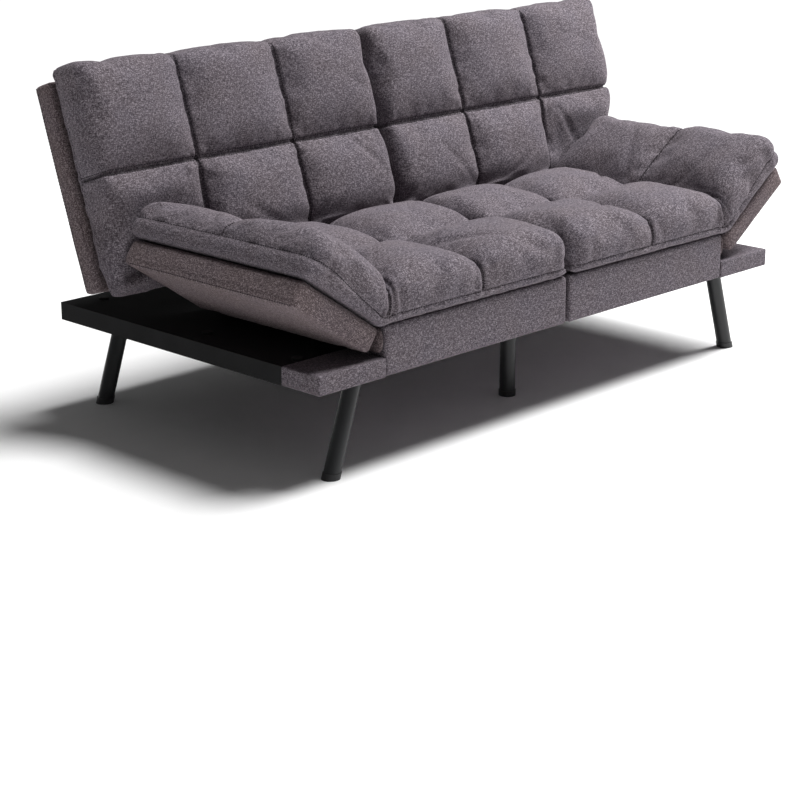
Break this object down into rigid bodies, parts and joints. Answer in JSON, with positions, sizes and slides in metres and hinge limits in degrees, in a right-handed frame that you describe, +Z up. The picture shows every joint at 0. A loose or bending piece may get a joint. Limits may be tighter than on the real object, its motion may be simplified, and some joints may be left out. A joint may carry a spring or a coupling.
{
  "type": "futon sofa bed",
  "caption": "Split-back futon sofa bed with tufted mattress cushions, backs that fold flat, arms that swing level, side ledges and splayed round legs.",
  "frame": {"origin": "on the floor under the middle of the sofa's bounding box, backs raised", "axes": "+X to the right as seen from in front, along the sofa's length; +Y to the back; +Z up"},
  "size_m": [1.798, 0.895, 0.8352],
  "materials": {
    "mattress_cloth": "matte",
    "panel_cloth": "matte",
    "dust_cloth": "matte",
    "black_board": "satin",
    "slat_timber": "matte",
    "frame_timber": "matte",
    "rubber": "matte",
    "cap_plastic": "matte",
    "leg_steel": "satin",
    "zinc_steel": "satin",
    "hinge_steel": "satin"
  },
  "bodies": {
    "base": {"left_tray_frame": "frame_timber", "right_tray_frame": "frame_timber", "left_ledge_cover": "black_board", "right_ledge_cover": "black_board", "left_front_wrap": "panel_cloth", "right_front_wrap": "panel_cloth", "left_dust_cover": "dust_cloth", "right_dust_cover": "dust_cloth", "left_seat_frame": "frame_timber", "right_seat_frame": "frame_timber", "left_seat_slats": "slat_timber", "right_seat_slats": "slat_timber", "left_seat_apron": "panel_cloth", "right_seat_apron": "panel_cloth", "left_seat_cushion": "mattress_cloth", "right_seat_cushion": "mattress_cloth", "left_arm_gussets": "panel_cloth", "right_arm_gussets": "panel_cloth", "tray_bumpers": "rubber", "front_left_leg": "leg_steel", "front_right_leg": "leg_steel", "rear_left_leg": "leg_steel", "rear_right_leg": "leg_steel", "front_centre_leg": "leg_steel", "rear_centre_leg": "leg_steel", "foot_caps": "cap_plastic", "leg_plates": "leg_steel", "leg_screws": "zinc_steel", "join_bolts": "zinc_steel", "join_nuts": "zinc_steel", "join_spacers": "cap_plastic", "left_back_hinge_plates": "hinge_steel", "right_back_hinge_plates": "hinge_steel", "left_back_hinge_pins": "zinc_steel", "right_back_hinge_pins": "zinc_steel", "left_arm_hinge_brackets": "hinge_steel", "right_arm_hinge_brackets": "hinge_steel", "left_arm_hinge_pins": "zinc_steel", "right_arm_hinge_pins": "zinc_steel"},
    "left_back": {"left_back_core": "frame_timber", "left_back_cover": "panel_cloth", "left_back_cushion": "mattress_cloth", "left_back_hinge_straps": "hinge_steel"},
    "left_arm": {"left_arm_core": "frame_timber", "left_arm_cover": "panel_cloth", "left_arm_cushion": "mattress_cloth", "left_arm_hinge_straps": "hinge_steel"},
    "right_back": {"right_back_core": "frame_timber", "right_back_cover": "panel_cloth", "right_back_cushion": "mattress_cloth", "right_back_hinge_straps": "hinge_steel"},
    "right_arm": {"right_arm_core": "frame_timber", "right_arm_cover": "panel_cloth", "right_arm_cushion": "mattress_cloth", "right_arm_hinge_straps": "hinge_steel"}
  },
  "joints": [
    {"name": "left_back_hinge", "type": "hinge", "parent": "base", "child": "left_back", "pos_m": [-0.3, 0.144, 0.366], "axis": [1, 0, 0], "range_deg": [-71, 0]},
    {"name": "left_arm_hinge", "type": "hinge", "parent": "base", "child": "left_arm", "pos_m": [-0.6245, -0.1525, 0.313], "axis": [0, 1, 0], "range_deg": [-34, 4]},
    {"name": "right_back_hinge", "type": "hinge", "parent": "base", "child": "right_back", "pos_m": [0.3, 0.144, 0.366], "axis": [1, 0, 0], "range_deg": [-71, 0]},
    {"name": "right_arm_hinge", "type": "hinge", "parent": "base", "child": "right_arm", "pos_m": [0.6245, -0.1525, 0.313], "axis": [0, -1, 0], "range_deg": [-34, 4]}
  ]
}
